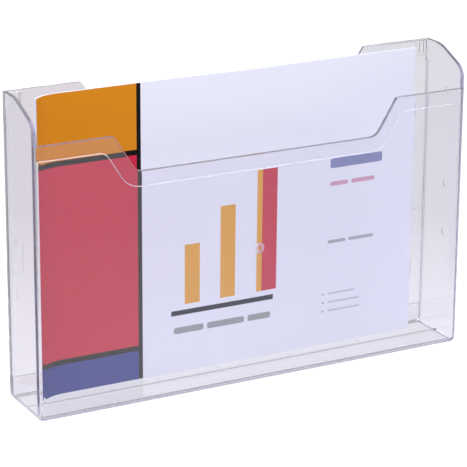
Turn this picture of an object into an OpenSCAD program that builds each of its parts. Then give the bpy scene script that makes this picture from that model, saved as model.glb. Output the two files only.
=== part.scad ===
// Wall rack for A4 landscape brochures: a clear front tray, a clear back panel and one stapled brochure.
// X is to the right, Y is to the back, Z is up. The origin is the middle of the base.

/* [Rack] */
// Overall width
rack_width = 328; // [320:1:360]
// Overall depth, from the wall face to the front
rack_depth = 50; // [42:1:70]
// Overall height, at the ears of the back panel
rack_height = 215; // [205:1:240]
// Wall thickness of both mouldings
wall = 2.5; // [2:0.1:3]
// Outside radius of the front and bottom edges
edge_radius = 4.5; // [4:0.5:8]

/* [Front wall] */
// Height of the front wall at its shoulders
front_height = 189.5; // [180:0.5:195]
// Distance between the two shoulder corners of the hand notch
notch_width = 215; // [160:1:240]
// Depth of the hand notch below the shoulders
notch_drop = 26; // [15:1:40]
// Slope of the notch sides from the horizontal
notch_slope = 58; // [40:1:75]
// Width of the thickened rim that follows the top edge
rim_width = 10.5; // [6:0.5:14]
// How far the rim stands out from the inside face
rim_step = 0.7; // [0.4:0.1:1.2]
// Height of the moulding gate mark
gate_height = 97; // [60:1:130]

/* [Side walls] */
// Flat length of the side walls' top edge, from the back to the slope
crown_flat = 18; // [10:1:22]
// Slope of the side walls' top edge
crown_slope = 23; // [18:1:26]
// Radius where that edge turns down to the front wall
crown_radius = 12; // [8:1:13]
// How far the side walls' front edge stands behind the front face
crown_inset = 2.9; // [2.5:0.1:4]

/* [Back panel] */
// Length of each ear along the top
ear_length = 52.5; // [40:1:60]
// Depth of the gap between the ears
ear_drop = 20; // [12:1:26]
// Slope of the ears' inner ends
ear_slope = 54; // [40:1:70]
// Screw hole diameter
screw_hole = 4.5; // [3.5:0.1:5.5]
// Distance between the screw holes along X
screw_spacing_x = 250; // [200:10:260]
// Distance between the screw holes along Z
screw_spacing_z = 150; // [120:10:150]
// Height of the lower screw holes
screw_height = 45; // [35:1:45]
// Height of the lip that the panel stands behind
lip_height = 16.5; // [10:0.5:25]

/* [Brochure] */
// Width of a page
page_width = 297; // [290:1:300]
// Height of a page
page_height = 210; // [200:1:215]
// Distance from the wall face to the middle of the page block
page_stand = 13.1; // [12:0.1:20]
// Distance from the rack's middle plane to the fold
fold_x = 144.9; // [143:0.1:149]
// Thickness of the cover card
cover_thick = 0.25; // [0.2:0.05:0.4]
// Thickness of an inner sheet
sheet_thick = 0.1; // [0.1:0.01:0.2]
// Radius of the curl at the free ends of the pages
curl_radius = 26; // [15:1:40]
// Angle of that curl
curl_angle = 45; // [10:1:50]

/* [Hidden] */
$fn = 64;
clear_plastic = [0.84, 0.86, 0.92, 0.45];
card_white = [0.93, 0.93, 0.97];
page_white = [0.97, 0.97, 0.96];
steel = [0.70, 0.71, 0.73];
cut = 1;                                   // how far a cutter passes a face
back_y = rack_depth / 2;
front_y = -rack_depth / 2;
inner_half = rack_width / 2 - wall;        // from the middle plane to a side wall's inside face
fit_gap = 0.1;                             // gap round the back panel and its lugs

shoulder_radius = 2;
low_radius = 10;
rim_blend = 0.6;                           // growth of the corner radii with the inset
crown_blend = 30;
gate_radius = 4.2;                         // a shallow round dimple with a stub in its middle
gate_depth = 0.8;
gate_sphere = (gate_radius * gate_radius + gate_depth * gate_depth) / (2 * gate_depth);
gate_stub = 1.1;

rib_size = 1.5;                            // guide rib and lip, square to the panel
rib_y = back_y - wall - fit_gap - rib_size;
rib_top = rack_height - 18;
floor_rib_y = -1.5;                        // low ridge along the floor, in front of the brochure
floor_rib_size = [1.6, 0.9];
lug_count = 5;
lug_pitch = 12.6;
lug_first = 19.5;
lug_size = [1, 1.5, 5];

floor_mark_radius = 2;
mark_radius = 2.4;                         // ring marks on the side walls
mark_depth = 0.4;
mark_heights = [79, 115.5, 184];
left_mark_y = back_y - 15;
right_mark_y = back_y - 30;

panel_half = inner_half - fit_gap;
ear_in = panel_half - ear_length;
ear_step_height = 11.5;
ear_step_depth = 0.5;
slot_size = [3, 7];                        // blind slot in a shallow frame, one in each ear
slot_depth = 1.7;
slot_centre = [154.4, rack_height - 5.6];
slot_frame = [6.8, 8.6];
slot_frame_depth = 1.1;
slot_frame_centre = [155.5, rack_height - 5.6];
screw_seat_radius = 4.75;
screw_seat_depth = 1;
pad_size = [9, 21];
pad_centre = [156, 100];
pad_depth = 0.5;

sheet_gap = 0.02;                          // air between two sheets
sheet_pitch = sheet_thick + sheet_gap;
sheet_count = 4;
block_half = sheet_count * sheet_pitch + sheet_gap / 2;
page_base = wall + 0.3;
page_y = back_y - page_stand;
curl_x = fold_x - page_width + curl_radius * curl_angle * PI / 180;
staple_heights = [page_base + page_height * 0.22, page_base + page_height * 0.78];
staple_wire = 0.5;
staple_crown = 12;
staple_leg = 2.4;

function unit(v) = v / norm(v);

// Points of the round of radius r at corner q, between its neighbours p and s.
function corner_round(p, q, s, r, steps = 10) =
    r <= 0 ? [q] :
    let (u = unit(p - q),
         v = unit(s - q),
         half = acos(u * v) / 2,
         centre = q + unit(u + v) * r / sin(half),
         first = q + u * r / tan(half) - centre,
         last = q + v * r / tan(half) - centre,
         start = atan2(first.y, first.x),
         turn = atan2(last.y, last.x) - start,
         sweep = turn > 180 ? turn - 360 : turn < -180 ? turn + 360 : turn)
    [for (i = [0:steps]) centre + r * [cos(start + sweep * i / steps), sin(start + sweep * i / steps)]];

// An outline from [point, radius] corners.
function rounded_outline(corners) =
    let (n = len(corners))
    [for (i = [0:n - 1])
        each corner_round(corners[(i + n - 1) % n][0], corners[i][0], corners[(i + 1) % n][0], corners[i][1])];

function mirrored_x(corners) = [for (i = [len(corners) - 1:-1:0]) [[-corners[i][0].x, corners[i][0].y], corners[i][1]]];

// An open bin with round front and bottom edges, its mouth up and its back flat at y = 0.
module bin(w, d, h, r) {
    translate([-w / 2 + r, -d, r]) cube([w - 2 * r, d, h - r]);
    translate([-w / 2, -d + r, r]) cube([w, d - r, h - r]);
    translate([-w / 2 + r, -d + r, 0]) cube([w - 2 * r, d - r, h]);
    translate([-w / 2 + r, -d + r, r]) rotate([0, 90, 0]) cylinder(r = r, h = w - 2 * r);
    for (side = [-1, 1]) translate([side * (w / 2 - r), -d + r, r]) {
        cylinder(r = r, h = h - r);
        rotate([-90, 0, 0]) cylinder(r = r, h = d - r);
        sphere(r = r);
    }
}

// Everything that extends across X, from an outline drawn as (y, z).
module across(w) {
    translate([-w / 2, 0, 0]) rotate([90, 0, 90]) linear_extrude(w) children();
}

// A plate seen from the front, drawn as (x, z), from y to y + t.
module plate(y, t) {
    translate([0, y + t, 0]) rotate([90, 0, 0]) linear_extrude(t) children();
}

// Side view of the tray: low at the front, rising along the crown to the back.
module side_outline() {
    crown_front = front_y + crown_inset;
    crown_back = back_y - crown_flat;
    crown_low = rack_height - (crown_back - crown_front) * tan(crown_slope);
    polygon(rounded_outline([
        [[back_y, 0], 0],
        [[back_y, rack_height], 0],
        [[crown_back, rack_height], crown_blend],
        [[crown_front, crown_low], crown_radius],
        [[crown_front, front_height], 0],
        [[front_y, front_height], 0],
        [[front_y, 0], 0]]));
}

// Front view of the front wall, with its top edge moved in by inset.
module front_outline(inset) {
    side = rack_width / 2;
    shift = inset * tan(notch_slope / 2);
    shoulder = notch_width / 2 + shift;
    low = shoulder - notch_drop / tan(notch_slope);
    top = front_height - inset;
    right = [
        [[low, top - notch_drop], low_radius + rim_blend * inset],
        [[shoulder, top], shoulder_radius + rim_blend * inset],
        [[side, top], 0],
        [[side, 0], 0]];
    polygon(rounded_outline(concat(right, mirrored_x(right))));
}

module gate_mark() {
    translate([0, front_y, gate_height]) difference() {
        translate([0, gate_depth - gate_sphere, 0]) sphere(r = gate_sphere);
        rotate([-90, 0, 0]) cylinder(r = gate_stub, h = gate_depth + cut);
    }
}

// Shallow ring marks that the mould's pins leave inside the side walls.
module side_marks() {
    for (z = mark_heights) {
        translate([-inner_half - mark_depth, left_mark_y, z]) rotate([0, 90, 0]) cylinder(r = mark_radius, h = cut);
        translate([inner_half + mark_depth - cut, right_mark_y, z]) rotate([0, 90, 0])
            cylinder(r = mark_radius, h = cut);
    }
}

module floor_marks() {
    for (i = [0:4]) translate([-129 + 56.5 * i, back_y - 20, wall - mark_depth])
        cylinder(r = floor_mark_radius, h = cut);
}

// The lugs along one edge of the back panel; grow makes the pockets that they sit in.
module lugs(grow) {
    for (side = [-1, 1], i = [0:lug_count - 1])
        translate([side * (panel_half + lug_size.x / 2), back_y - wall / 2, lug_first + lug_pitch * i])
            cube(lug_size + 2 * [grow + 0.2, grow, grow], center = true);
}

module front_tray() color(clear_plastic) {
    difference() {
        intersection() {
            translate([0, back_y, 0]) bin(rack_width, rack_depth, rack_height, edge_radius);
            across(rack_width + 2 * cut) side_outline();
        }
        translate([0, back_y + cut, wall])
            bin(2 * inner_half, rack_depth - wall + cut, rack_height, edge_radius - wall);
        plate(front_y - cut, cut + wall + cut) difference() {
            translate([0, front_height]) square([notch_width + 4 * shoulder_radius, front_height], center = true);
            front_outline(0);
        }
        lugs(fit_gap);
        gate_mark();
        side_marks();
        floor_marks();
    }
    plate(front_y + wall, rim_step) intersection() {
        difference() {
            front_outline(0);
            front_outline(rim_width);
        }
        translate([-inner_half, 0]) square([2 * inner_half, front_height]);
    }
    for (side = [-1, 1])
        translate([side * (inner_half - rib_size / 2) - rib_size / 2, rib_y, wall]) cube([rib_size, rib_size, rib_top]);
    translate([-inner_half, rib_y, wall]) cube([2 * inner_half, rib_size, lip_height - wall]);
    translate([-inner_half, floor_rib_y, wall]) cube([2 * inner_half, floor_rib_size.x, floor_rib_size.y]);
}

// Front view of the back panel, with its two ears.
module panel_outline() {
    top = rack_height;
    low = top - ear_drop;
    foot = ear_in - ear_drop / tan(ear_slope);
    right = [
        [[foot, low], low_radius],
        [[ear_in, top], shoulder_radius],
        [[panel_half, top], 1],
        [[panel_half, wall], edge_radius - wall + fit_gap]];
    polygon(rounded_outline(concat(right, mirrored_x(right))));
}

module screw_holes() {
    for (x = [-1, 1] * screw_spacing_x / 2, level = [0, 1])
        translate([x, back_y - wall, screw_height + level * screw_spacing_z]) rotate([-90, 0, 0]) {
            translate([0, 0, -cut]) cylinder(r = screw_seat_radius, h = cut + screw_seat_depth);
            cylinder(d = screw_hole, h = wall + cut);
        }
}

module back_panel() color(clear_plastic) {
    difference() {
        plate(back_y - wall, wall) panel_outline();
        plate(back_y - wall - cut, cut + ear_step_depth)
            translate([-rack_width / 2, rack_height - ear_step_height]) square([rack_width, ear_step_height + cut]);
        for (side = [-1, 1]) {
            plate(back_y - wall - cut, cut + slot_frame_depth)
                translate([side * slot_frame_centre.x, slot_frame_centre.y]) square(slot_frame, center = true);
            plate(back_y - wall - cut, cut + slot_depth)
                translate([side * slot_centre.x, slot_centre.y]) square(slot_size, center = true);
            plate(back_y - wall - cut, cut + pad_depth)
                translate([side * pad_centre.x, pad_centre.y]) square(pad_size, center = true);
        }
        screw_holes();
    }
    lugs(0);
}

// One folded sheet seen from above: half is the distance from the block's middle to its inside face.
module folded_sheet(half, thick) {
    outer = half + thick;
    fold_centre = fold_x - block_half - cover_thick;
    translate([0, 0, page_base]) linear_extrude(page_height) {
        for (side = [-1, 1]) translate([curl_x, page_y + side * (half + thick / 2) - thick / 2])
            square([fold_centre - curl_x, thick]);
        translate([fold_centre, page_y]) intersection() {
            difference() {
                circle(r = outer);
                circle(r = half);
            }
            translate([0, -outer]) square(2 * outer);
        }
        translate([curl_x, page_y - curl_radius]) intersection() {
            union() {
                difference() {
                    circle(r = curl_radius + outer);
                    circle(r = curl_radius + half);
                }
                difference() {
                    circle(r = curl_radius - half);
                    circle(r = curl_radius - outer);
                }
            }
            reach = 2 * curl_radius;
            polygon([[0, 0], [0, reach], [-reach * sin(curl_angle / 2), reach * cos(curl_angle / 2)],
                     [-reach * sin(curl_angle), reach * cos(curl_angle)]]);
        }
    }
}

module brochure_cover() color(card_white) folded_sheet(block_half, cover_thick);

// Sheet 1 is next to the cover, and sheet 4 is the middle of the brochure.
module inner_sheet(number) color(page_white)
    folded_sheet(block_half - number * sheet_pitch + sheet_gap / 2, sheet_thick);

// Two wire staples: the crown lies outside the fold, and the legs go in to the middle spread.
module brochure_staples() color(steel) {
    for (z = staple_heights) translate([fold_x + staple_wire / 2, page_y, z]) {
        translate([0, 0, -staple_crown / 2]) cylinder(d = staple_wire, h = staple_crown);
        for (end = [-1, 1]) translate([0, 0, end * (staple_crown - staple_wire) / 2]) rotate([0, -90, 0])
            cylinder(d = staple_wire, h = staple_leg);
    }
}

front_tray();
back_panel();
brochure_cover();
inner_sheet(1);  // inner_sheet_1
inner_sheet(2);  // inner_sheet_2
inner_sheet(3);  // inner_sheet_3
inner_sheet(4);  // inner_sheet_4
brochure_staples();
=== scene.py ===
# Clear wall rack for A4 landscape brochures, with one stapled brochure standing in it.
# Metres, X to the right, Y to the wall, Z up; the rack's base is on Z = 0.
import math

import bmesh
import bpy
from mathutils import Matrix, Vector


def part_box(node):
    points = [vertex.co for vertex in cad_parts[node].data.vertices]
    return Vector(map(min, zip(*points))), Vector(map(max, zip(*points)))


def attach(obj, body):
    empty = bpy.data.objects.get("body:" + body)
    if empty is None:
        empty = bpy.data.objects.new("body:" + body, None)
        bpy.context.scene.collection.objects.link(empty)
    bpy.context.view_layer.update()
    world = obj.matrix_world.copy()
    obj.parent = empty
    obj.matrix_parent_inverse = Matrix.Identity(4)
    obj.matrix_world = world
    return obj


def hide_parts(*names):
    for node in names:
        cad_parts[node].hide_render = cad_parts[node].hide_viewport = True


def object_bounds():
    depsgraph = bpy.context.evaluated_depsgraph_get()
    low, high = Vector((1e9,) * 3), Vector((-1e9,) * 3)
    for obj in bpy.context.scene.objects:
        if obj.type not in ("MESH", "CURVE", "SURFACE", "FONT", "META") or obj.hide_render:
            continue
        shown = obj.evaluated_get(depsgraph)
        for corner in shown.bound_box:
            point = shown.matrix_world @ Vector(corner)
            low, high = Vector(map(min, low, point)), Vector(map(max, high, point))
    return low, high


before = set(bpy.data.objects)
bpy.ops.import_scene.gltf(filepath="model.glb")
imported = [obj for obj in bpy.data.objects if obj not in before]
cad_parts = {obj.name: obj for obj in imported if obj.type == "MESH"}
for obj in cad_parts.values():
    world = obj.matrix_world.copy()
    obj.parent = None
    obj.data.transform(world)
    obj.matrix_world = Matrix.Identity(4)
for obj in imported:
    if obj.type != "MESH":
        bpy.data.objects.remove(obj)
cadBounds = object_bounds()
mm = 0.001
scene = bpy.context.scene


# Adds a node, sets its properties, then links or sets its inputs.
def addNode(tree, kind, inputs=None, **settings):
    node = tree.nodes.new(kind)
    for name, value in settings.items():
        setattr(node, name, value)
    for name, value in (inputs or {}).items():
        value = value.source if isinstance(value, Number) else value
        if isinstance(value, bpy.types.NodeSocket):
            tree.links.new(value, node.inputs[name])
        else:
            node.inputs[name].default_value = value
    return node


# A number inside a node tree, so that node maths reads as a formula.
class Number:
    def __init__(self, tree, source):
        self.tree = tree
        self.source = source

    def math(self, operation, *others):
        items = dict(enumerate((self,) + others))
        node = addNode(self.tree, "ShaderNodeMath", items, operation=operation)
        return Number(self.tree, node.outputs[0])

    def __add__(self, other):
        return self.math("ADD", other)

    def __sub__(self, other):
        return self.math("SUBTRACT", other)

    def __mul__(self, other):
        return self.math("MULTIPLY", other)

    def __truediv__(self, other):
        return self.math("DIVIDE", other)

    # value from 0 to 1 while this number goes from low to high
    def share(self, low, high):
        sockets = {"Value": self, "From Min": low, "From Max": high}
        return Number(self.tree, addNode(self.tree, "ShaderNodeMapRange", sockets).outputs[0])


def splitVector(tree, socket):
    node = addNode(tree, "ShaderNodeSeparateXYZ", {0: socket})
    return [Number(tree, output) for output in node.outputs]


def joinVector(tree, x, y, z):
    return addNode(tree, "ShaderNodeCombineXYZ", {0: x, 1: y, 2: z}).outputs[0]


# Inputs 6 and 7 of this node are its colours, and output 2 is the mixed colour.
def mixColour(tree, amount, first, second):
    node = addNode(tree, "ShaderNodeMix", {0: amount, 6: first, 7: second}, data_type="RGBA")
    return node.outputs[2]


# The same colour, darker or lighter.
def shadeOf(colour, share):
    return [share * value for value in colour[:3]] + [1]


# An empty node group with named inputs and outputs: (name, kind, default).
def nodeGroup(name, kind, inputs, outputs):
    tree = bpy.data.node_groups.new(name, kind)
    for side, sockets in (("INPUT", inputs), ("OUTPUT", outputs)):
        for label, socketKind, default in sockets:
            socket = tree.interface.new_socket(label, in_out=side, socket_type="NodeSocket" + socketKind)
            if default is not None:
                socket.default_value = default
    return tree, tree.nodes.new("NodeGroupInput").outputs, tree.nodes.new("NodeGroupOutput").inputs


# Places a shader node group in a material, with its own values.
def placeGroup(tree, group, inputs):
    return addNode(tree, "ShaderNodeGroup", inputs, node_tree=group).outputs


def emptyMaterial(name):
    material = bpy.data.materials.new(name)
    material.use_nodes = True
    material.node_tree.nodes.clear()
    return material, material.node_tree


# Runs a geometry tree and keeps what it makes as a plain mesh object.
def meshFromTree(name, tree, values):
    carrier = bpy.data.objects.new(name + "Carrier", bpy.data.meshes.new(name + "Carrier"))
    scene.collection.objects.link(carrier)
    modifier = carrier.modifiers.new("Tree", "NODES")
    modifier.node_group = tree
    for item in tree.interface.items_tree:
        if item.in_out == "INPUT" and item.name in values:
            modifier[item.identifier] = values[item.name]
    evaluated = carrier.evaluated_get(bpy.context.evaluated_depsgraph_get())
    piece = bpy.data.objects.new(name, bpy.data.meshes.new_from_object(evaluated))
    piece.data.name = name
    scene.collection.objects.link(piece)
    carrier.modifiers.clear()
    bpy.data.objects.remove(carrier)
    return piece


# Smooth shading that keeps edges sharper than this many degrees.
def shadeSmooth(mesh, sharpAngle):
    mesh.shade_smooth()
    mesh.set_sharp_from_angle(angle=math.radians(sharpAngle))


view = {
    "lens": 177.3,
    "sensorWidth": 36,
    "clipStart": 0.05,
    "place": (-717.7, -1317.0, 597.3),       # mm
    "turn": 28.37,                           # degrees from looking along Y
    "down": 18.34,
    "roll": 0.37,
    "bounces": 28,                           # light goes back and forth many times inside clear edges
}


def makeCamera():
    data = bpy.data.cameras.new("camera")
    data.lens = view["lens"]
    data.sensor_width = view["sensorWidth"]
    data.clip_start = view["clipStart"]
    camera = bpy.data.objects.new("camera", data)
    turn = Matrix.Rotation(math.radians(-view["turn"]), 4, "Z")
    tilt = Matrix.Rotation(math.radians(90 - view["down"]), 4, "X")
    roll = Matrix.Rotation(math.radians(view["roll"]), 4, "Z")
    camera.matrix_world = Matrix.Translation(Vector(view["place"]) * mm) @ turn @ tilt @ roll
    scene.collection.objects.link(camera)
    scene.camera = camera
    scene.view_settings.view_transform = "Standard"
    for kind in ("max_bounces", "glossy_bounces", "transmission_bounces"):
        setattr(scene.cycles, kind, view["bounces"])
    print("camera ready")


studio = {
    "floorSize": 9.0,
    "floorColour": (0.32, 0.32, 0.33, 1),
    "floorShade": 0.97,                      # the floor's darker patches
    "floorPatches": 1.5,                     # patches to the metre
    "floorRoughness": 0.9,
    "floorGlow": 0.36,                       # glow of the far floor, as the rack sees it
    "paintedNearLight": 0.66,                   # painted light: the same glow, made brighter close round the rack
    "floorNear": (0.08, 0.40),               # distances over which the one turns into the other
    "floorSeen": 0.74,                       # glow that makes the floor white to the camera
    "underRackPaintedShade": 0.58,                       # painted shade: the dimmer glow left under the rack
    "contactPaintedShadow": 0.12,                     # painted contact shadow: the dark glow left along the outline of its base
    # width of the painted contact shadow strip
    "contactShadowWidth": 5 * mm,
    "domeTop": (1.0, 1.0, 1.03, 1),
    "domeSide": (0.50, 0.50, 0.55, 1),
    "domeRise": (0.05, 0.6),                 # heights over which the side turns into the top
    "domeStrength": 0.8,
    "lamps": (                               # name, place, aim, size, watts
        ("keyPanel", (-1.3, -1.5, 1.6), (0, 0, 0.1), (1.2, 1.0), 18),
        ("fillPanel", (1.7, -1.3, 1.0), (0, 0, 0.1), (0.8, 1.2), 8),
        ("backPanel", (0.3, 1.5, 1.5), (0, 0, 0.1), (1.6, 0.5), 12),
        ("overheadStrip", (0, -0.25, 1.7), (0, 0, 0.15), (1.8, 0.12), 9),
    ),
}


def makeFloor(barGroup):
    half = studio["floorSize"] / 2
    mesh = bpy.data.meshes.new("floor")
    corners = [(-half, -half, 0), (half, -half, 0), (half, half, 0), (-half, half, 0)]
    mesh.from_pydata(corners, [], [(0, 1, 2, 3)])
    floor = bpy.data.objects.new("floor", mesh)
    scene.collection.objects.link(floor)
    material, tree = emptyMaterial("floorPaper")
    place = addNode(tree, "ShaderNodeTexCoord").outputs["Object"]
    cloud = addNode(tree, "ShaderNodeTexNoise", {
        "Vector": place, "Scale": studio["floorPatches"], "Detail": 3.0}).outputs[0]
    shade = shadeOf(studio["floorColour"], studio["floorShade"])
    colour = mixColour(tree, cloud, studio["floorColour"], shade)
    path = addNode(tree, "ShaderNodeLightPath")
    seen = Number(tree, path.outputs["Is Camera Ray"])
    distance = addNode(tree, "ShaderNodeVectorMath", {0: place}, operation="LENGTH").outputs["Value"]
    # painted light: close round the rack the floor glows brighter
    nearest, farthest = studio["floorNear"]
    paintedLightShare = Number(tree, distance).share(farthest, nearest)
    glow = paintedLightShare * (studio["paintedNearLight"] - studio["floorGlow"]) + studio["floorGlow"]
    # painted shadow: the rack's outline sets a dark contact shadow strip round its base, and a smaller one
    # inside it sets the dimmer painted shade under the rack
    low, high = cadBounds
    for inset, level in ((0, studio["contactPaintedShadow"]), (studio["contactShadowWidth"], studio["underRackPaintedShade"])):
        paintedShadeMask = placeGroup(tree, barGroup, {
            "Page": place, "Left": low.x + inset, "Right": high.x - inset,
            "Bottom": low.y + inset, "Top": high.y - inset})["Mask"]
        glow = glow + (glow * -1 + level) * paintedShadeMask
    shown = glow + seen * (Number(tree, studio["floorSeen"]) - glow)
    surface = addNode(tree, "ShaderNodeBsdfPrincipled", {
        "Base Color": colour, "Roughness": studio["floorRoughness"],
        "Emission Color": shown, "Emission Strength": 1.0})
    addNode(tree, "ShaderNodeOutputMaterial", {"Surface": surface.outputs[0]})
    mesh.materials.append(material)


def makeDome():
    world = bpy.data.worlds.new("studioDome")
    scene.world = world
    world.use_nodes = True
    tree = world.node_tree
    tree.nodes.clear()
    direction = addNode(tree, "ShaderNodeTexCoord").outputs["Generated"]
    height = splitVector(tree, direction)[2]
    colour = mixColour(tree, height.share(*studio["domeRise"]), studio["domeSide"], studio["domeTop"])
    dome = addNode(tree, "ShaderNodeBackground", {"Color": colour, "Strength": studio["domeStrength"]})
    seen = addNode(tree, "ShaderNodeBackground", {"Color": (1, 1, 1, 1), "Strength": 1.0})
    path = addNode(tree, "ShaderNodeLightPath")
    mixed = addNode(tree, "ShaderNodeMixShader", {
        0: path.outputs["Is Camera Ray"], 1: dome.outputs[0], 2: seen.outputs[0]})
    addNode(tree, "ShaderNodeOutputWorld", {"Surface": mixed.outputs[0]})


def makeLamps():
    for name, place, aim, size, watts in studio["lamps"]:
        data = bpy.data.lights.new(name, "AREA")
        data.shape = "RECTANGLE"
        data.size, data.size_y = size
        data.energy = watts
        lamp = bpy.data.objects.new(name, data)
        towards = Vector(aim) - Vector(place)
        lamp.matrix_world = Matrix.Translation(place) @ towards.to_track_quat("-Z", "Y").to_matrix().to_4x4()
        scene.collection.objects.link(lamp)


# Fine uneven surface: a bump height, a small roughness change, and clouds for a second tint.
def surfaceGrainGroup():
    tree, given, result = nodeGroup("surfaceGrain", "ShaderNodeTree", [
        ("Grain Size", "Float", 0.001), ("Cloud Size", "Float", 0.05),
        ("Roughness", "Float", 0.5), ("Roughness Spread", "Float", 0.1)],
        [("Height", "Float", None), ("Roughness", "Float", None), ("Cloud", "Float", None)])
    place = addNode(tree, "ShaderNodeTexCoord").outputs["Object"]
    one = Number(tree, 1.0)
    grain = addNode(tree, "ShaderNodeTexNoise", {
        "Vector": place, "Scale": one / given["Grain Size"], "Detail": 4.0})
    cloud = addNode(tree, "ShaderNodeTexNoise", {
        "Vector": place, "Scale": one / given["Cloud Size"], "Detail": 2.0})
    centred = Number(tree, cloud.outputs[0]) - 0.5
    tree.links.new(grain.outputs[0], result["Height"])
    tree.links.new(cloud.outputs[0], result["Cloud"])
    spread = centred * given["Roughness Spread"] + given["Roughness"]
    tree.links.new(spread.source, result["Roughness"])
    return tree


# The grain in a material, with the settings of its own surface.
def placeGrain(tree, grainGroup, look):
    return placeGroup(tree, grainGroup, {
        "Grain Size": look["grainSize"], "Cloud Size": look["cloudSize"],
        "Roughness": look["roughness"], "Roughness Spread": look["roughnessSpread"]})


def grainBump(tree, grain, look):
    return addNode(tree, "ShaderNodeBump", {
        "Height": grain["Height"], "Strength": look["bump"], "Distance": look["bumpDepth"]}).outputs[0]


barSoftness = 0.12 * mm                      # how far a bar's outline fades


# A bar on the page, in metres: 1 inside its round-cornered rectangle and 0 outside. The floor uses it too,
# as the mask of its painted shade round and under the rack.
def inkAndShadeBarGroup():
    tree, given, result = nodeGroup("inkAndShadeBar", "ShaderNodeTree", [
        ("Page", "Vector", None), ("Left", "Float", 0.0), ("Right", "Float", 0.01),
        ("Bottom", "Float", 0.0), ("Top", "Float", 0.01), ("Corner", "Float", 0.0)],
        [("Mask", "Float", None)])
    across, up, _ = splitVector(tree, given["Page"])
    corner = Number(tree, given["Corner"])

    def outside(position, low, high):
        low, high = Number(tree, low), Number(tree, high)
        middle = (low + high) * 0.5
        half = (high - low) * 0.5
        return ((position - middle).math("ABSOLUTE") - half + corner).math("MAXIMUM", 0.0)

    sideways = outside(across, given["Left"], given["Right"])
    upwards = outside(up, given["Bottom"], given["Top"])
    distance = (sideways * sideways + upwards * upwards).math("SQRT") - corner
    tree.links.new(distance.share(barSoftness, 0.0).source, result["Mask"])
    return tree


plastic = {
    "tint": (0.960, 0.957, 0.978, 1),
    "cloudTint": (0.940, 0.937, 0.962, 1),   # the tint varies a little from place to place
    "lampTint": (0.97, 0.97, 0.98, 1),       # what a wall leaves of the lamps' light
    "ior": 1.57,
    "roughness": 0.012,
    "roughnessSpread": 0.02,
    "grainSize": 45 * mm,                    # a slow ripple, as in any moulding
    "cloudSize": 90 * mm,
    "bump": 0.02,
    "bumpDepth": 2 * mm,
    "topEdgeRoughness": 0.42,                # the edges round the mouth are less polished
    "rimEdgeRoughness": 0.5,                 # the underside of the rim's step catches the light
    "edgeHeights": (120 * mm, 125 * mm),     # both of these edges begin between these heights
    "edgeSlopes": (0.2, 0.35),               # how far up or down such a face looks, from 0 to 1
    "gateHeight": 97 * mm,                   # the gate mark on the front wall has a frosted ring
    "gateRing": (1.9 * mm, 4.1 * mm),
    "gateSoftness": 0.3 * mm,
    "gateDepths": (-22 * mm, -24 * mm),      # from clear to frosted, so only the wall's outside has it
    "gateRoughness": 0.5,
    "thicknessTint": (0.85, 0.84, 0.915, 1), # light that runs a long way inside turns violet grey
    "thicknessDensity": 85.0,
    "edgeRound": {"front_tray": 0.3 * mm, "back_panel": 0.2 * mm},
    "edgeSegments": 2,
    "weldDistance": 0.001 * mm,
    "flatAngle": 0.3,                        # degrees: faces that differ less become one
    "sharpAngle": 28,                        # degrees
    "smallNetwork": 25 * mm,                 # edge loops under this size are rounded less
    "smallShare": 0.35,
}


def clearPlasticMaterial(grainGroup):
    material, tree = emptyMaterial("clearPolystyrene")
    grain = placeGrain(tree, grainGroup, plastic)
    own = addNode(tree, "ShaderNodeTexCoord").outputs
    across, depth, height = splitVector(tree, own["Object"])
    faceZ = splitVector(tree, own["Normal"])[2]
    isHigh = height.share(*plastic["edgeHeights"])
    topEdge = faceZ.share(*plastic["edgeSlopes"]) * plastic["topEdgeRoughness"]
    rimEdge = (faceZ * -1).share(*plastic["edgeSlopes"]) * plastic["rimEdgeRoughness"]
    up = height - plastic["gateHeight"]
    fromGate = (across * across + up * up).math("SQRT")
    inner, outer = plastic["gateRing"]
    soft = plastic["gateSoftness"]
    gate = fromGate.share(inner, inner + soft) * fromGate.share(outer, outer - soft)
    frosted = gate * depth.share(*plastic["gateDepths"])
    roughness = (topEdge + rimEdge) * isHigh + frosted * plastic["gateRoughness"] + grain["Roughness"]
    colour = mixColour(tree, grain["Cloud"], plastic["tint"], plastic["cloudTint"])
    surface = addNode(tree, "ShaderNodeBsdfPrincipled", {
        "Base Color": colour, "Roughness": roughness, "IOR": plastic["ior"],
        "Transmission Weight": 1.0, "Normal": grainBump(tree, grain, plastic)})
    clear = addNode(tree, "ShaderNodeBsdfTransparent", {"Color": plastic["lampTint"]})
    path = addNode(tree, "ShaderNodeLightPath")
    mixed = addNode(tree, "ShaderNodeMixShader", {
        0: path.outputs["Is Shadow Ray"], 1: surface.outputs[0], 2: clear.outputs[0]})
    thickness = addNode(tree, "ShaderNodeVolumeAbsorption", {
        "Color": plastic["thicknessTint"], "Density": plastic["thicknessDensity"]})
    addNode(tree, "ShaderNodeOutputMaterial", {"Surface": mixed.outputs[0], "Volume": thickness.outputs[0]})
    return material


# The back panel's upright ends are tinted nearly black: painted shade for the dark lines that its clear
# edges show.
shadedEnd = {
    "tint": (0.12, 0.12, 0.14, 1),
    "paleShare": 1.15,
    "clearness": 0.3,
    "roughness": 0.35,
    "roughnessSpread": 0.15,
    "grainSize": 0.4 * mm,
    "cloudSize": 20 * mm,
    "bump": 0.2,
    "bumpDepth": 0.1 * mm,
    "facing": 0.98,                          # a face that looks this far along X is an end
}


def shadedEndMaterial(grainGroup):
    material, tree = emptyMaterial("shadedEndPolystyrene")
    grain = placeGrain(tree, grainGroup, shadedEnd)
    pale = shadeOf(shadedEnd["tint"], shadedEnd["paleShare"])
    colour = mixColour(tree, grain["Cloud"], shadedEnd["tint"], pale)
    surface = addNode(tree, "ShaderNodeBsdfPrincipled", {
        "Base Color": colour, "Roughness": grain["Roughness"], "IOR": plastic["ior"],
        "Transmission Weight": shadedEnd["clearness"], "Normal": grainBump(tree, grain, shadedEnd)})
    addNode(tree, "ShaderNodeOutputMaterial", {"Surface": surface.outputs[0]})
    return material


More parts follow.
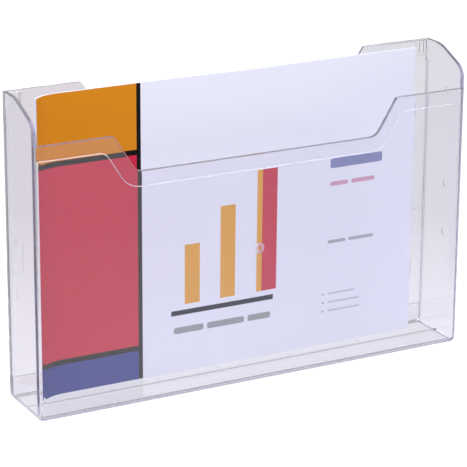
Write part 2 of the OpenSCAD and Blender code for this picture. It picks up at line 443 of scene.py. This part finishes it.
# Pairs of a sharp edge and its share of the rounding. Edges in small networks get less.
def sharpEdges(bm):
    sharp = [edge for edge in bm.edges if edge.calc_face_angle(0) > math.radians(plastic["sharpAngle"])]
    waiting = set(sharp)
    kept = []
    while waiting:
        network = [waiting.pop()]
        for edge in network:
            for vert in edge.verts:
                for other in vert.link_edges:
                    if other in waiting:
                        waiting.remove(other)
                        network.append(other)
        points = [vert.co for edge in network for vert in edge.verts]
        spans = [max(places) - min(places) for places in zip(*points)]
        share = 1 if max(spans) > plastic["smallNetwork"] else plastic["smallShare"]
        kept += [(edge, share) for edge in network]
    return kept


# A moulding with the CAD node's shape, whose long edges are rounded as a mould rounds them.
def makeMoulding(name, cadNode, material, endMaterial=None):
    bm = bmesh.new()
    bm.from_mesh(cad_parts[cadNode].data)
    bmesh.ops.remove_doubles(bm, verts=bm.verts, dist=plastic["weldDistance"])
    flatAngle = math.radians(plastic["flatAngle"])
    bmesh.ops.dissolve_limit(bm, angle_limit=flatAngle, verts=bm.verts, edges=bm.edges)
    weight = bm.edges.layers.float.new("bevel_weight_edge")
    for edge, share in sharpEdges(bm):
        edge[weight] = share
    mesh = bpy.data.meshes.new(name)
    bm.to_mesh(mesh)
    bm.free()
    for layer in ("custom_normal", "sharp_face", "sharp_edge"):
        if layer in mesh.attributes:
            mesh.attributes.remove(mesh.attributes[layer])
    mesh.materials.clear()
    mesh.materials.append(material)
    # the back panel's ends get the near-black material with painted shade
    if endMaterial:
        mesh.materials.append(endMaterial)
        for face in mesh.polygons:
            face.material_index = int(abs(face.normal.x) > shadedEnd["facing"])
    shadeSmooth(mesh, plastic["sharpAngle"])
    piece = bpy.data.objects.new(name, mesh)
    scene.collection.objects.link(piece)
    rounding = piece.modifiers.new("edgeRound", "BEVEL")
    rounding.limit_method = "WEIGHT"
    rounding.width = plastic["edgeRound"][cadNode]
    rounding.segments = plastic["edgeSegments"]
    rounding.use_clamp_overlap = False
    flatten = piece.modifiers.new("flatFaces", "WEIGHTED_NORMAL")
    flatten.weight = 100                     # large flat faces stay flat, and don't bend what is behind
    flatten.keep_sharp = True
    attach(piece, "rack")
    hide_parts(cadNode)
    print(name, "made")


paper = {
    "width": 297 * mm,
    "height": 210 * mm,
    "foldColumns": 8,                        # columns of faces in each stretch of a page
    "flatColumns": 40,
    "curlColumns": 16,
    "rows": 20,
    "curlRadius": 26 * mm,
    "curlAngle": 45,                         # degrees, at the free ends
    "waveDepth": 2.0 * mm,                   # how far the top edge leans out at the wave
    "waveCentre": 15 * mm,
    "waveWidth": 42 * mm,
    "sheets": 4,
    "sheetThickness": 0.1 * mm,
    "coverThickness": 0.25 * mm,
    "sheetGap": 0.02 * mm,
    "sharpAngle": 40,                        # degrees
    "gloss": 0.12,
    "shade": 0.985,                          # the paper's darker patches
    "roughness": 0.55,
    "roughnessSpread": 0.12,
    "grainSize": 0.6 * mm,
    "cloudSize": 60 * mm,
    "bump": 0.05,
    "bumpDepth": 0.1 * mm,
}

sheetPitch = paper["sheetThickness"] + paper["sheetGap"]
blockHalf = paper["sheets"] * sheetPitch + paper["sheetGap"] / 2     # half the thickness of the folded pages


# Folded sheets that stand on their lower edges: the fold is to the right, and the free ends curl forward.
# A block of faces from -0.5 to 0.5 is bent: x runs along the paper, y through it and z up it.
def foldedPaperTree():
    tree, given, result = nodeGroup("foldedPaper", "GeometryNodeTree", [
        ("Sheets", "Int", 1), ("Sheet Pitch", "Float", 0.0), ("Fold Radius", "Float", 0.001),
        ("Thickness", "Float", 0.0003), ("Page Width", "Float", 0.297), ("Page Height", "Float", 0.21),
        ("Curl Radius", "Float", 0.02), ("Curl Angle", "Float", 0.8), ("Fold X", "Float", 0.1),
        ("Page Y", "Float", 0.0), ("Page Base", "Float", 0.0), ("Wave Depth", "Float", 0.0),
        ("Wave Centre", "Float", 0.0), ("Wave Width", "Float", 0.05),
        ("Outside", "Material", None), ("Inside", "Material", None)], [("Geometry", "Geometry", None)])
    size = {socket.name: Number(tree, socket) for socket in given if socket.type == "VALUE"}
    columns = paper["foldColumns"] + paper["flatColumns"] + paper["curlColumns"]
    foldShare = paper["foldColumns"] / columns
    flatShare = foldShare + paper["flatColumns"] / columns

    block = addNode(tree, "GeometryNodeMeshCube", {
        "Size": (1, 1, 1), "Vertices X": 2 * columns + 1, "Vertices Y": 2, "Vertices Z": paper["rows"] + 1})
    spots = addNode(tree, "GeometryNodeMeshLine", {"Count": given["Sheets"], "Offset": (0, 0, 0)})
    copies = addNode(tree, "GeometryNodeInstanceOnPoints", {
        "Points": spots.outputs[0], "Instance": block.outputs[0]})
    blocks = addNode(tree, "GeometryNodeRealizeInstances", {0: copies.outputs[0]})
    along, through, up = splitVector(tree, addNode(tree, "GeometryNodeInputPosition").outputs[0])
    sheet = Number(tree, addNode(tree, "GeometryNodeInputMeshIsland").outputs["Island Index"])

    side = along.math("SIGN")                # -1 is the front leaf, 1 the back leaf
    reach = along.math("ABSOLUTE") * 2
    foldAngle = (Number(tree, 1.0) - reach.share(0, foldShare)) * (math.pi / 2)
    curlTurn = reach.share(flatShare, 1) * size["Curl Angle"]
    flatLength = size["Page Width"] - size["Curl Radius"] * size["Curl Angle"]
    flat = reach.share(foldShare, flatShare) * flatLength
    radius = size["Fold Radius"] - sheet * size["Sheet Pitch"] + through * size["Thickness"]
    offset = side * radius
    bend = size["Curl Radius"] + offset
    x = size["Fold X"] - flat - bend * curlTurn.math("SINE") + radius * foldAngle.math("SINE")
    y = size["Page Y"] + offset * foldAngle.math("COSINE") + bend * (curlTurn.math("COSINE") - 1)
    height = up + 0.5
    wave = (x - size["Wave Centre"]) / size["Wave Width"]
    lean = size["Wave Depth"] * height / (wave * wave).math("EXPONENT")
    z = size["Page Base"] + height * size["Page Height"]

    # u is 0 to 1 from the front leaf's free end to the fold, and 1 to 2 on the back leaf
    run = side * (flat + size["Curl Radius"] * curlTurn) / size["Page Width"] + 1.0
    mapped = addNode(tree, "GeometryNodeStoreNamedAttribute", {
        "Geometry": blocks.outputs[0], "Name": "UVMap", "Value": joinVector(tree, run, height, 0.0)},
        data_type="FLOAT2", domain="CORNER")
    # the middle of an outside face is at 0.5 through the paper, and the middle of an edge face at 0
    isOutside = addNode(tree, "FunctionNodeCompare", {0: through, 1: 0.49}, operation="GREATER_THAN")
    marked = addNode(tree, "GeometryNodeStoreNamedAttribute", {
        "Geometry": mapped.outputs[0], "Name": "outside", "Value": isOutside.outputs[0]},
        data_type="BOOLEAN", domain="FACE")
    bent = addNode(tree, "GeometryNodeSetPosition", {
        "Geometry": marked.outputs[0], "Position": joinVector(tree, x, y - lean, z)})
    turned = addNode(tree, "GeometryNodeFlipFaces", {0: bent.outputs[0]})
    solid = addNode(tree, "GeometryNodeRealizeInstances", {0: turned.outputs[0]})
    inside = addNode(tree, "GeometryNodeSetMaterial", {
        "Geometry": solid.outputs[0], "Material": given["Inside"]})
    mark = addNode(tree, "GeometryNodeInputNamedAttribute", {"Name": "outside"}, data_type="BOOLEAN")
    outside = addNode(tree, "GeometryNodeSetMaterial", {
        "Geometry": inside.outputs[0], "Selection": mark.outputs[0], "Material": given["Outside"]})
    tree.links.new(outside.outputs[0], result["Geometry"])
    return tree


def makeFoldedPaper(name, tree, values, bodyNodes):
    coverLow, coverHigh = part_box("brochure_cover")
    piece = meshFromTree(name, tree, {
        **values,
        "Page Width": paper["width"] - blockHalf - paper["coverThickness"],
        "Page Height": paper["height"],
        "Curl Radius": paper["curlRadius"],
        "Curl Angle": math.radians(paper["curlAngle"]),
        "Fold X": coverHigh.x - blockHalf - paper["coverThickness"],
        "Page Y": coverHigh.y - blockHalf - paper["coverThickness"],
        "Page Base": coverLow.z,
        "Wave Depth": paper["waveDepth"],
        "Wave Centre": paper["waveCentre"],
        "Wave Width": paper["waveWidth"],
    })
    shadeSmooth(piece.data, paper["sharpAngle"])
    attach(piece, "brochure")
    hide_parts(*bodyNodes)
    print(name, "made")


ink = {
    "paper": (0.80, 0.81, 0.93, 1),
    "orange": (0.66, 0.235, 0.008, 1),
    "amber": (0.74, 0.36, 0.05, 1),
    "crimson": (0.56, 0.022, 0.062, 1),
    "blue": (0.045, 0.060, 0.265, 1),
    "black": (0.004, 0.003, 0.004, 1),
    "night": (0.002, 0.002, 0.025, 1),
    "slate": (0.30, 0.33, 0.35, 1),
    "navy": (0.22, 0.24, 0.46, 1),
    "rose": (0.60, 0.33, 0.47, 1),
    "grey": (0.38, 0.40, 0.46, 1),
    "pale": (0.55, 0.55, 0.66, 1),
}

# Ink on the cover: colour, left, right, bottom, top and corner radius, in mm from its lower left corner.
# The front page ends at the fold, at 297, and the back page goes on from there.
coverPrint = (
    ("orange", -1, 78, 160, 211, 0),
    ("crimson", -1, 78, 23, 161, 0),
    ("blue", -1, 78, -1, 23, 0),
    ("black", -1, 79, 160.7, 164.3, 0),
    ("black", -1, 79, 21, 24.6, 0),
    ("black", 78, 81, -1, 211, 0),
    ("amber", 113.5, 125, 49, 92, 0),
    ("amber", 141, 152.5, 49, 116, 0),
    ("amber", 169.5, 173.7, 49, 138, 0),
    ("crimson", 173.7, 185.4, 49, 138, 0),
    ("night", 103, 183, 41.5, 45, 0),
    ("slate", 105, 128, 28, 32.5, 1.5),
    ("slate", 131, 160, 28, 32.5, 1.5),
    ("slate", 163, 181, 28, 32.5, 1.5),
    ("navy", 228.5, 271, 131, 138, 1.5),
    ("rose", 228.5, 243, 118, 121, 1),
    ("rose", 246, 265, 118, 121, 1),
    ("grey", 227.5, 242, 75.5, 77.8, 0.8),
    ("grey", 244.5, 265, 75.5, 77.8, 0.8),
    ("grey", 223.4, 225.2, 36.8, 38.4, 0.8),
    ("grey", 223.4, 225.2, 30.4, 32, 0.8),
    ("grey", 223.4, 225.2, 24, 25.6, 0.8),
    ("pale", 228.5, 250.5, 36.9, 38.3, 0.5),
    ("pale", 228.5, 255, 30.5, 31.9, 0.5),
    ("pale", 228.5, 255, 24.1, 25.5, 0.5),
    ("black", 540, 543, -1, 211, 0),
    ("crimson", 543, 596, -1, 211, 0),
    ("pale", 318, 360, 14, 15.6, 0.5),
    ("pale", 318, 348, 18, 19.6, 0.5),
)


def pagePaperMaterial(name, grainGroup, colourOf=None):
    material, tree = emptyMaterial(name)
    grain = placeGrain(tree, grainGroup, paper)
    colour = mixColour(tree, grain["Cloud"], ink["paper"], shadeOf(ink["paper"], paper["shade"]))
    if colourOf:
        colour = colourOf(tree, colour)
    surface = addNode(tree, "ShaderNodeBsdfPrincipled", {
        "Base Color": colour, "Roughness": grain["Roughness"], "Specular IOR Level": paper["gloss"],
        "Normal": grainBump(tree, grain, paper)})
    addNode(tree, "ShaderNodeOutputMaterial", {"Surface": surface.outputs[0]})
    return material


def printedColour(barGroup):
    def build(tree, colour):
        uv = addNode(tree, "ShaderNodeUVMap", uv_map="UVMap").outputs[0]
        page = addNode(tree, "ShaderNodeVectorMath", {
            0: uv, 1: (paper["width"], paper["height"], 0)}, operation="MULTIPLY").outputs[0]
        for name, left, right, bottom, top, corner in coverPrint:
            mask = placeGroup(tree, barGroup, {
                "Page": page, "Left": left * mm, "Right": right * mm,
                "Bottom": bottom * mm, "Top": top * mm, "Corner": corner * mm})["Mask"]
            colour = mixColour(tree, mask, colour, ink[name])
        return colour
    return build


staples = {
    "wireRadius": 0.25 * mm,
    "crown": 12 * mm,
    "leg": 2.4 * mm,
    "bendRadius": 0.5 * mm,
    "bendPoints": 6,
    "wireSides": 14,
    "count": 2,
    "sharpAngle": 40,                        # degrees
    "steel": (0.62, 0.62, 0.64, 1),
    "dullSteel": (0.50, 0.50, 0.53, 1),
    "roughness": 0.3,
    "roughnessSpread": 0.2,
    "grainSize": 0.2 * mm,
    "cloudSize": 4 * mm,
    "bump": 0.2,
    "bumpDepth": 0.05 * mm,
}


# A wire runs through four points, tip, corner, corner and tip, with its corners rounded.
def stapleTree():
    tree, given, result = nodeGroup("stapleRow", "GeometryNodeTree", [
        ("Count", "Int", 2), ("Spacing", "Float", 0.1), ("First", "Vector", None),
        ("Wire Radius", "Float", 0.0003), ("Crown", "Float", 0.012), ("Leg", "Float", 0.002),
        ("Bend Radius", "Float", 0.0005), ("Wire", "Material", None)], [("Geometry", "Geometry", None)])
    crown, leg, spacing = (Number(tree, given[name]) for name in ("Crown", "Leg", "Spacing"))
    line = addNode(tree, "GeometryNodeMeshLine", {"Count": 4})
    index = Number(tree, addNode(tree, "GeometryNodeInputIndex").outputs[0])
    step = index - 1.5                       # -1.5, -0.5, 0.5, 1.5
    isTip = step.math("ABSOLUTE").math("GREATER_THAN", 1.0)
    shaped = addNode(tree, "GeometryNodeSetPosition", {
        "Geometry": line.outputs[0],
        "Position": joinVector(tree, isTip * leg * -1, 0.0, step.math("SIGN") * crown * 0.5)})
    path = addNode(tree, "GeometryNodeMeshToCurve", {0: shaped.outputs[0]})
    bent = addNode(tree, "GeometryNodeFilletCurve", {
        0: path.outputs[0], "Radius": given["Bend Radius"], "Count": staples["bendPoints"]}, mode="POLY")
    circle = addNode(tree, "GeometryNodeCurvePrimitiveCircle", {
        "Resolution": staples["wireSides"], "Radius": given["Wire Radius"]})
    wire = addNode(tree, "GeometryNodeCurveToMesh", {
        "Curve": bent.outputs[0], "Profile Curve": circle.outputs[0], "Fill Caps": True})
    spots = addNode(tree, "GeometryNodeMeshLine", {
        "Count": given["Count"], "Start Location": given["First"],
        "Offset": joinVector(tree, 0.0, 0.0, spacing)})
    placed = addNode(tree, "GeometryNodeInstanceOnPoints", {
        "Points": spots.outputs[0], "Instance": wire.outputs[0]})
    solid = addNode(tree, "GeometryNodeRealizeInstances", {0: placed.outputs[0]})
    finished = addNode(tree, "GeometryNodeSetMaterial", {
        "Geometry": solid.outputs[0], "Material": given["Wire"]})
    tree.links.new(finished.outputs[0], result["Geometry"])
    return tree


def stapleWireMaterial(grainGroup):
    material, tree = emptyMaterial("stapleWire")
    grain = placeGrain(tree, grainGroup, staples)
    colour = mixColour(tree, grain["Cloud"], staples["steel"], staples["dullSteel"])
    surface = addNode(tree, "ShaderNodeBsdfPrincipled", {
        "Base Color": colour, "Metallic": 1.0, "Roughness": grain["Roughness"],
        "Normal": grainBump(tree, grain, staples)})
    addNode(tree, "ShaderNodeOutputMaterial", {"Surface": surface.outputs[0]})
    return material


def makeStaples(material):
    low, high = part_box("brochure_staples")
    first = Vector((high.x - staples["wireRadius"], (low.y + high.y) / 2, low.z + staples["crown"] / 2))
    piece = meshFromTree("wire_staples", stapleTree(), {
        "Count": staples["count"],
        "Spacing": high.z - low.z - staples["crown"],
        "First": first,
        "Wire Radius": staples["wireRadius"],
        "Crown": staples["crown"] - 2 * staples["wireRadius"],
        "Leg": staples["leg"],
        "Bend Radius": staples["bendRadius"],
        "Wire": material,
    })
    shadeSmooth(piece.data, staples["sharpAngle"])
    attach(piece, "brochure")
    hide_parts("brochure_staples")
    print("staples made")


grainGroup = surfaceGrainGroup()
barGroup = inkAndShadeBarGroup()

makeCamera()
makeFloor(barGroup)
makeDome()
makeLamps()
print("studio ready")

clearPlastic = clearPlasticMaterial(grainGroup)
plainPaper = pagePaperMaterial("plainPaper", grainGroup)
printedCard = pagePaperMaterial("printedCard", grainGroup, printedColour(barGroup))
print("materials ready")

makeMoulding("tray_moulding", "front_tray", clearPlastic)
makeMoulding("back_moulding", "back_panel", clearPlastic, shadedEndMaterial(grainGroup))

paperTree = foldedPaperTree()
makeFoldedPaper("cover_card", paperTree, {
    "Sheets": 1, "Sheet Pitch": 0.0, "Fold Radius": blockHalf + paper["coverThickness"] / 2,
    "Thickness": paper["coverThickness"], "Outside": printedCard, "Inside": plainPaper,
}, ["brochure_cover"])
makeFoldedPaper("inner_pages", paperTree, {
    "Sheets": paper["sheets"], "Sheet Pitch": sheetPitch,
    "Fold Radius": blockHalf - paper["sheetGap"] - paper["sheetThickness"] / 2,
    "Thickness": paper["sheetThickness"], "Outside": plainPaper, "Inside": plainPaper,
}, ["inner_sheet_%d" % (number + 1) for number in range(paper["sheets"])])
makeStaples(stapleWireMaterial(grainGroup))
